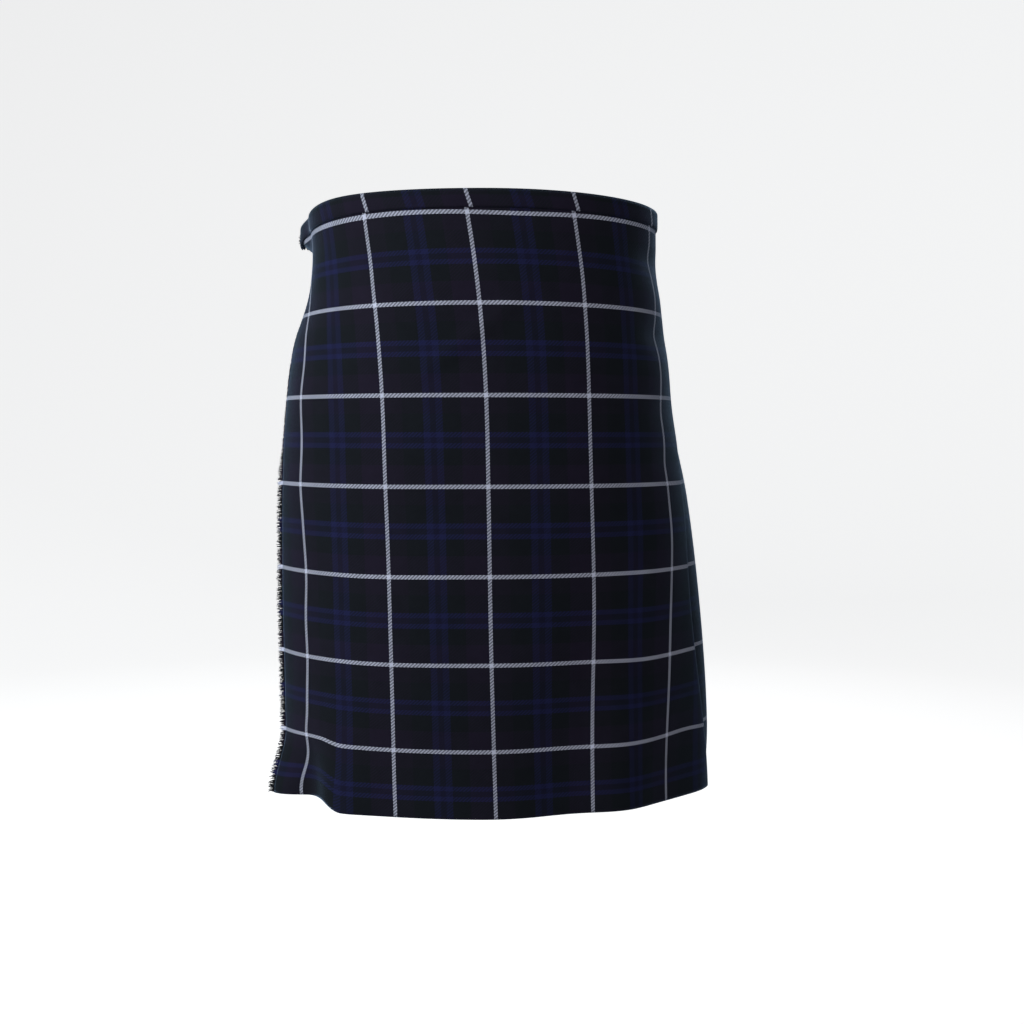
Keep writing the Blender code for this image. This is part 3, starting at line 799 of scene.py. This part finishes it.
def under_apron_row(drop, inset=0.0):
    """One row of the under apron: the part behind the last pleat, then the part in front."""
    width = pleat_width(drop)
    first = np.linspace(PLEATS - PLEAT_DEPTH / width, PLEATS + 1, HIDDEN_COLUMNS)
    deep = wrap_inset(first) + spacing(drop) * np.maximum(0, PLEATS + 1 - first)
    behind = on_folds(first, drop, deep + inset)
    start = fold_arc(np.array([PLEATS + 1.0]), drop)[0] - girth(drop)
    arc = np.linspace(start, across_arc(UNDER_EDGE, drop), UNDER_COLUMNS)[1:]
    valley = np.maximum(0, -fold_push(arc, drop))
    front = place(arc, drop, WRAP_IN + valley + inset)
    across = np.concatenate([(first - PLEATS - 1) * width, arc - start]) + UNDER_START
    return np.concatenate([behind, front]), across, drop - FIRST_STRIPE


under_drops = np.linspace(TOP_EDGE, LENGTH, UNDER_ROWS)
under_apron = hang_cloth("under_apron_cloth", under_drops, under_apron_row)
under_apron.data.materials.append(tartan_cloth)
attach(under_apron, "root")
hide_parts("under_apron")


# ---------------------------------------------------------------- waistband
# A strip of the same cloth, cut a little off the grain, is folded over the top of the aprons and
# the stacked pleats, and sewn through all of them along its lower edge.

BAND_OFF = 1.9  # from the middle of the cloth inside it to the middle of each of its faces
BAND_CORNER = 1.9
BAND_DOWN = 0.68 * SETT_DOWN  # the part of the sett that the strip was cut from
BAND_SHIFT_TOP, BAND_SHIFT_SEAM = 1.5, 4.5  # how far its threads are off the apron's
BAND_DROOP, DROOP_WIDTH = 7, 30  # its free end hangs a little lower along its seam
BAND_COLUMNS, ROUND_COLUMNS = 150, 181


def stack_depth(folds):
    """How deep the folded cloth inside the band is, at a place counted in folds. It thickens
    from the first fold's hidden cloth on, and thins out past the last fold."""
    depth = PLEAT_DEPTH / pleat_width(0)
    full = spacing(0) * (1 + depth) * smooth(-depth - 1.2, -depth - 0.6, folds)
    return np.clip(full, 0, spacing(0) * np.maximum(PLEATS + 1.4 - folds, 0))


# The band's section, up its outer face and down its inner one. Its lower edge is turned in.
BandLine = namedtuple("BandLine", "drop inside in_by")
outer_face = [BandLine(BAND + 0.3, False, 1.1), BandLine(BAND - 0.6, False, 0.45)]
outer_face += [BandLine(BAND - 2, False, 0.1)]
outer_face += [BandLine(drop, False, 0) for drop in (13, 10, 7, 4.5, 2.5)]
for turn in np.linspace(0, math.pi / 2, 5):
    over = BandLine(
        0.6 + BAND_CORNER * (1 - math.sin(turn)), False, BAND_CORNER * (1 - math.cos(turn))
    )
    outer_face.append(over)
section = outer_face + [line._replace(inside=True) for line in reversed(outer_face)]


def band_row(number):
    """One line of the band's section, all round the waist."""
    drop, inside, in_by = section[int(number)]
    off = (BAND_OFF - in_by) * (1 if inside else -1)
    width = pleat_width(drop)
    front_run = np.linspace(FRINGED_EDGE, APRON_FOLD - spacing(0) / 4, BAND_COLUMNS)
    near_end = 1 - smooth(FRINGED_EDGE, FRINGED_EDGE + DROOP_WIDTH, front_run)
    front = apron_points(front_run, drop, off, BAND_DROOP * near_end * drop / BAND)
    folds = np.linspace(0, PLEATS, ROUND_COLUMNS)[1:]
    inset = wrap_inset(folds)
    if inside:
        front_folds = (front_run - APRON_FOLD) / pleat_width(0)
        depth = stack_depth(front_folds)
        thick = on_folds(front_folds, drop, depth + off)
        front = np.where((depth > 0)[:, None], thick, front)
        inset = inset + stack_depth(folds)
    back = on_folds(folds, drop, inset + off)
    under, under_run, _ = under_apron_row(drop, off)
    beyond = under_run > UNDER_START - width + 1
    under_run = APRON_FOLD + (PLEATS + 1) * width + (under_run[beyond] - UNDER_START)
    across = np.concatenate([front_run, APRON_FOLD + folds * width, under_run])
    shift = np.interp(min(drop, BAND), (0, BAND), (BAND_SHIFT_TOP, BAND_SHIFT_SEAM))
    down = BAND_DOWN + (-drop if inside else drop)
    return np.concatenate([front, back, under[beyond]]), across - shift, down


waistband = hang_cloth("waistband_cloth", range(len(section)), band_row)
# The lines run from the outer face's lower edge upwards, so the faces are turned the right way.
waistband.data.flip_normals()
waistband.data.materials.append(tartan_cloth)
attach(waistband, "root")
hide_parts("waistband")


# ---------------------------------------------------------------- straps and buckles
# A leather strap and a small wire buckle close the wrap at each hip. The buckle hangs in a chape,
# a short tab looped round its bar and sewn to the pleats; the strap comes through the frame, and
# the prong through its third hole; and a keeper holds its tail. Each piece is made flat, once,
# and then laid round both hips.

STRAP_WIDTH, STRAP_THICK, STRAP_DROP = 22, 2.0, 35
CHAPE_THICK = 1.2
WIRE, PRONG = 1.1, 0.8  # the radius of each
FRONT_BAR, REAR_BAR, TIP = 46, 74, 142  # how far each is along the strap
HOLE, HOLE_STEP = 1.7, 13
FIRST_HOLE = REAR_BAR - 7  # the one that the prong is in
CLEAR = 0.5
TUCK = 22  # the length over which the strap comes out of its tuck
# Where along it the strap climbs onto the rear bar, comes off it, and comes off the chape.
UP_TO_BAR, OFF_BAR = (FRONT_BAR + 4, REAR_BAR - 3), (REAR_BAR + 4, REAR_BAR + 14)
OFF_CHAPE = REAR_BAR + 30, REAR_BAR + 46
# Heights from the middle of the pleats' cloth: the strap and the chape's two layers lying on it,
# the buckle's bars, and the strap where it crosses the rear bar and the chape.
ON_CLOTH = 0.6 + CLEAR
FLAT = ON_CLOTH + STRAP_THICK / 2
CHAPE_LOW = ON_CLOTH + CHAPE_THICK / 2
CHAPE_TOP = CHAPE_LOW + CHAPE_THICK + CLEAR
BAR = ON_CLOTH + CHAPE_THICK + CLEAR + WIRE
LOOP = WIRE + CLEAR + CHAPE_THICK / 2
OVER_BAR = BAR + LOOP + CHAPE_THICK / 2 + CLEAR + STRAP_THICK / 2
OVER_CHAPE = CHAPE_TOP + CHAPE_THICK / 2 + CLEAR + STRAP_THICK / 2
FRONT = FLAT + STRAP_THICK / 2 + CLEAR + WIRE
STRAP_COLUMNS, STRAP_ROWS, BEND_STEPS = 76, 9, 12
TIP_STEPS = np.array([9, 6, 4, 2.4, 1.2, 0.4, 0])  # how far the last columns are from the tip
STITCH, STITCH_GAP = (1.05, 0.3, 0.28), 3.0  # half of each stitch's size

# Where each strap starts, which way it runs, how much of it is tucked in, and how high it starts.
Side = namedtuple("Side", "name start way tucked first_height")
right_start = girth(STRAP_DROP) + across_arc(FRINGED_EDGE - 6.5, STRAP_DROP)
left_start = fold_arc(0.0, STRAP_DROP + STRAP_WIDTH // 2) + 1
SIDES = (
    Side("right_hip", right_start, -1, 30, FLAT),
    Side("left_hip", left_start, 1, 0, FLAT - spacing(0) + CLEAR),
)


def strap_height(first_height, along):
    """The strap lies on the pleats, climbs through the frame over its bar, and comes down."""
    height = first_height + (FLAT - first_height) * np.clip(along / TUCK, 0, 1)
    height += (OVER_BAR - FLAT) * smooth(*UP_TO_BAR, along)
    height -= (OVER_BAR - OVER_CHAPE) * smooth(*OFF_BAR, along)
    return float(height - (OVER_CHAPE - FLAT) * smooth(*OFF_CHAPE, along))


def lay_on_hip(piece, side):
    """Bends a flat piece round a hip: x is along the strap, y down across it, z out."""
    for vert in piece.data.vertices:
        along, across, height = vert.co
        drop = round(STRAP_DROP + across, 2)
        arc = side.start + side.way * along
        folds = (arc - fold_arc(0.0, drop)) / pleat_width(drop)
        vert.co = place(arc, drop, wrap_inset(folds) - height)
    if side.way > 0:
        piece.data.flip_normals()
    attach(piece, "root")


def flat_copy(piece, name):
    """A copy of a flat piece, with a mesh of its own."""
    copy = piece.copy()
    copy.data = piece.data.copy()
    copy.name = copy.data.name = name
    bpy.context.scene.collection.objects.link(copy)
    return copy


def activate(piece):
    bpy.ops.object.select_all(action="DESELECT")
    piece.select_set(True)
    bpy.context.view_layer.objects.active = piece


def apply_all(piece):
    activate(piece)
    for modifier in list(piece.modifiers):
        bpy.ops.object.modifier_apply(modifier=modifier.name)


def leather_strip(name, columns, rows, point_at, thickness):
    """A strip of leather of a given thickness with rounded edges, its UV map in millimetres."""
    flat = [(column, row) for row in rows for column in columns]
    index = np.arange(len(flat)).reshape(len(rows), len(columns))
    quads = np.stack([index[:-1, :-1], index[:-1, 1:], index[1:, 1:], index[1:, :-1]], -1)
    points = [point_at(column, row) for column, row in flat]
    strip = make_piece(name, points, quads.reshape(-1, 4).tolist(), "leather", flat)
    add_wall(strip, thickness)
    edge = strip.modifiers.new("Edge", "BEVEL")
    edge.width = thickness * 0.3
    edge.segments = 2
    edge.limit_method = "ANGLE"
    edge.angle_limit = math.radians(50)
    apply_all(strip)
    return strip


def punch_out(piece, **punch_size):
    """Cuts the shape of a round punch out of a piece."""
    bpy.ops.object.select_all(action="DESELECT")
    bpy.ops.mesh.primitive_cylinder_add(**punch_size)
    punch = bpy.context.object
    cut = piece.modifiers.new("Punch", "BOOLEAN")
    cut.operation = "DIFFERENCE"
    cut.object = punch
    apply_all(piece)
    bpy.data.objects.remove(punch)


leather = Finish("black bridle leather", Specular_IOR_Level=0.4)
place_on = leather.on_piece()
sockets = {"Vector": place_on, "Scale": 900.0, "Randomness": 1.0}
grain = leather.node("ShaderNodeTexVoronoi", {"feature": "DISTANCE_TO_EDGE"}, sockets)
pores = grain.maths("MINIMUM", grain * 3.5, 1.0)
scuffs = leather.noise(place_on, 160.0, 4.0, 0.6)
black, worn, rubbed = (0.006, 0.0055, 0.005), (0.013, 0.012, 0.0115), (0.03, 0.027, 0.025)
leather.set("Base Color", leather.ramp(scuffs, [(0.0, black), (0.6, worn), (1.0, rubbed)]))
leather.set("Roughness", 0.34 + 0.3 * scuffs - 0.06 * pores)
leather.bump(pores * 0.6 + scuffs * 0.6, 0.45, 0.0002)

thread = Finish("waxed thread")
ply = thread.noise(thread.on_piece(), 1500.0, 1.0)
stops = [(0.0, (0.02, 0.02, 0.022)), (1.0, (0.07, 0.07, 0.075))]
thread.set("Base Color", thread.ramp(ply, stops))
thread.set("Roughness", 0.5 + 0.3 * ply)
thread.bump(ply, 0.4, 0.0002)

nickel = Finish("nickel plate", Metallic=1.0)
place_on = nickel.on_piece()
handled = nickel.noise(place_on, 120.0, 3.0, 0.6)
stops = [(0.3, (0.60, 0.59, 0.57)), (0.7, (0.76, 0.75, 0.73))]
nickel.set("Base Color", nickel.ramp(handled, stops))
nickel.set("Roughness", 0.12 + 0.22 * handled)
nickel.bump(nickel.noise(place_on, 800.0), 0.06, 0.0001)


def make_strap(side):
    """The strap, pointed at its tip, with its five holes punched after its edges are rounded."""
    columns = np.linspace(-side.tucked, TIP - 12, STRAP_COLUMNS)
    columns = np.concatenate([columns, TIP - TIP_STEPS])

    def point_at(along, row):
        half = STRAP_WIDTH / 2 * min(1.0, 0.35 + 0.65 * math.sqrt(max(0, TIP - along) / 14))
        dome = 0.12 * (1 - row * row)
        return along, row * half, strap_height(side.first_height, along) + dome

    rows = np.linspace(-1, 1, STRAP_ROWS)
    strap = leather_strip(f"strap_{side.name}_leather", columns, rows, point_at, STRAP_THICK - 0.1)
    for number in range(-1, 4):
        along = FIRST_HOLE + number * HOLE_STEP
        at = (along, 0, strap_height(side.first_height, along))
        punch_out(strap, vertices=20, radius=HOLE, depth=8, location=at)
    lay_on_hip(strap, side)
    strap.data.materials.append(leather.material)
    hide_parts(f"strap_{side.name}")


def make_chape():
    """The tab, looped round where the bar goes, with the slot for the prong cut in its bend."""
    tail, step = 26, 2
    bend = [(along, CHAPE_LOW) for along in range(tail, -step, -step)]
    for turn in np.linspace(0, math.pi, BEND_STEPS + 1):
        bend.append((-LOOP * math.sin(turn), BAR - LOOP * math.cos(turn)))
    bend += [(along, CHAPE_TOP) for along in range(step, tail + step, step)]
    half = STRAP_WIDTH / 2 - 1.5

    def point_at(number, across):
        along, height = bend[int(number)]
        return REAR_BAR + along, across, height

    rows = np.linspace(-half, half, 7)
    chape = leather_strip("chape", np.arange(len(bend)), rows, point_at, CHAPE_THICK)
    across_bend, at = (0, math.pi / 2, 0), (REAR_BAR - 2.4, 0, BAR)
    punch_out(chape, vertices=24, radius=3.3, depth=7.2, location=at, rotation=across_bend)
    return chape


def make_keeper():
    """A narrow strip over the strap's tail, its two feet turned in and sewn down."""
    half = STRAP_WIDTH / 2 + CLEAR + CHAPE_THICK / 2
    middle = REAR_BAR + 19
    top = strap_height(FLAT, middle) + STRAP_THICK / 2 + CLEAR + CHAPE_THICK / 2
    over = [(-half, ON_CLOTH), (-half, (ON_CLOTH + top) / 2), (-half, top - 1.2)]
    over += [(-half + 0.35, top - 0.35), (-half + 1.2, top)]
    over += [(across, top + 0.1) for across in (-8, -4, 0)]
    over += [(-across, height) for across, height in reversed(over[:-1])]

    def point_at(along, number):
        across, height = over[int(number)]
        return middle + along, across, height

    columns = np.linspace(-4, 4, 5)
    return leather_strip("keeper", columns, np.arange(len(over)), point_at, CHAPE_THICK)


def bent_wire(name, points, radius, closed):
    """Wire along a path, straight from point to point if it is closed and else on a curve."""
    curve = bpy.data.curves.new(name, "CURVE")
    curve.dimensions = "3D"
    spline = curve.splines.new("POLY" if closed else "BEZIER")
    if closed:
        spline.points.add(len(points) - 1)
        for target, point in zip(spline.points, points):
            target.co = (*point, 1)
        spline.use_cyclic_u = True
    else:
        spline.bezier_points.add(len(points) - 1)
        for target, point in zip(spline.bezier_points, points):
            target.co = point
            target.handle_left_type = target.handle_right_type = "AUTO"
        spline.resolution_u = 5
    curve.bevel_depth = radius
    curve.bevel_resolution = 4
    curve.use_fill_caps = not closed
    made = bpy.data.objects.new(name, curve)
    bpy.context.scene.collection.objects.link(made)
    activate(made)
    bpy.ops.object.convert(target="MESH")
    made = bpy.context.object
    made.data.shade_smooth()
    return made


def make_frame():
    """The buckle's frame: one wire bent to a rectangle with round corners."""
    half, corner = STRAP_WIDTH / 2 + WIRE + 1.2, 3
    middle, reach = (FRONT_BAR + REAR_BAR) / 2, (REAR_BAR - FRONT_BAR) / 2
    points = []
    for sx, sy, first in ((1, 1, 0), (-1, 1, 90), (-1, -1, 180), (1, -1, 270)):
        for turn in np.radians(np.linspace(first, first + 90, 9)):
            along = middle + sx * (reach - corner) + corner * math.cos(turn)
            across = sy * (half - corner) + corner * math.sin(turn)
            share = (along - FRONT_BAR) / (REAR_BAR - FRONT_BAR)
            points.append((along, across, FRONT + (BAR - FRONT) * share))
    spread = []
    for here, there in zip(points, points[1:] + points[:1]):
        steps = max(1, round(math.dist(here, there) / 2.5))
        spread += [tuple(np.add(here, np.subtract(there, here) * i / steps)) for i in range(steps)]
    return bent_wire("frame", spread, WIRE, True)


def make_prong():
    """The prong: it hooks round the rear bar, comes up through the strap and lies on the frame."""
    around = WIRE + 0.4 + PRONG
    top = strap_height(FLAT, FIRST_HOLE) + STRAP_THICK / 2 + 2 * PRONG
    on_front = FRONT + WIRE + CLEAR + PRONG
    points = []
    for angle in (262, 232, 202, 180):
        turn = math.radians(angle)
        points.append((REAR_BAR + around * math.cos(turn), 0, BAR + around * math.sin(turn)))
    points += [(FIRST_HOLE + 0.4, 0, BAR + 1.0), (FIRST_HOLE, 0, top - 0.8)]
    points += [(FIRST_HOLE - 1.2, 0, top + 0.4), (FRONT_BAR + 8, 0, on_front + 1.2)]
    points.append((FRONT_BAR - 3, 0, on_front - 0.1))
    return bent_wire("tongue", points, PRONG, False)


def make_stitches(name, places):
    """A row of short stitches. Each is a squashed eight-sided bead, sunk halfway in."""
    bpy.ops.object.select_all(action="DESELECT")
    bpy.ops.mesh.primitive_uv_sphere_add(segments=8, ring_count=4, radius=1, location=(0, 0, 0))
    bead = bpy.context.object
    vertices = np.array([v.co for v in bead.data.vertices])
    faces = [tuple(p.vertices) for p in bead.data.polygons]
    bpy.data.objects.remove(bead)
    points, quads = [], []
    for along, across, height, turned in places:
        length, width, depth = STITCH
        size = (width, length, depth) if turned else STITCH
        quads += [tuple(len(points) + v for v in face) for face in faces]
        points += (vertices * size + (along, across, height)).tolist()
    return make_piece(name, points, quads)


def strap_stitch_places(side):
    """Along both edges of the strap to short of its tip, and across the chape and the keeper."""
    places = []
    for along in np.arange(4 - side.tucked, TIP - 15, STITCH_GAP):
        height = strap_height(side.first_height, along) + STRAP_THICK / 2 + 0.02
        for edge in (-1, 1):
            places.append((along, edge * (STRAP_WIDTH / 2 - 2.2), height, False))
    for across in np.arange(-7.5, 7.6, STITCH_GAP):
        for along in (REAR_BAR + 22.5, REAR_BAR + 8.5):
            places.append((along, across, CHAPE_TOP + CHAPE_THICK / 2, True))
    return places


flat_chape, flat_keeper = make_chape(), make_keeper()
flat_frame, flat_tongue = make_frame(), make_prong()
for side in SIDES:
    make_strap(side)
    for flat_piece, kind, node, finish, slot in (
        (flat_chape, "chape", "chape", leather, "leather"),
        (flat_keeper, "keeper", "keeper", leather, "leather"),
        (flat_frame, "buckle_frame", "buckle", nickel, "nickel"),
        (flat_tongue, "buckle_tongue", "prong", nickel, "nickel"),
    ):
        fitted = flat_copy(flat_piece, f"{kind}_{side.name}_made")
        lay_on_hip(fitted, side)
        fitted.data.materials.append(finish.material)
        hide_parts(f"{node}_{side.name}")
    stitches = make_stitches(f"stitches_{side.name}", strap_stitch_places(side))
    lay_on_hip(stitches, side)
    stitches.data.materials.append(thread.material)
for flat_piece in (flat_chape, flat_keeper, flat_frame, flat_tongue):
    bpy.data.objects.remove(flat_piece)
bpy.ops.object.select_all(action="DESELECT")
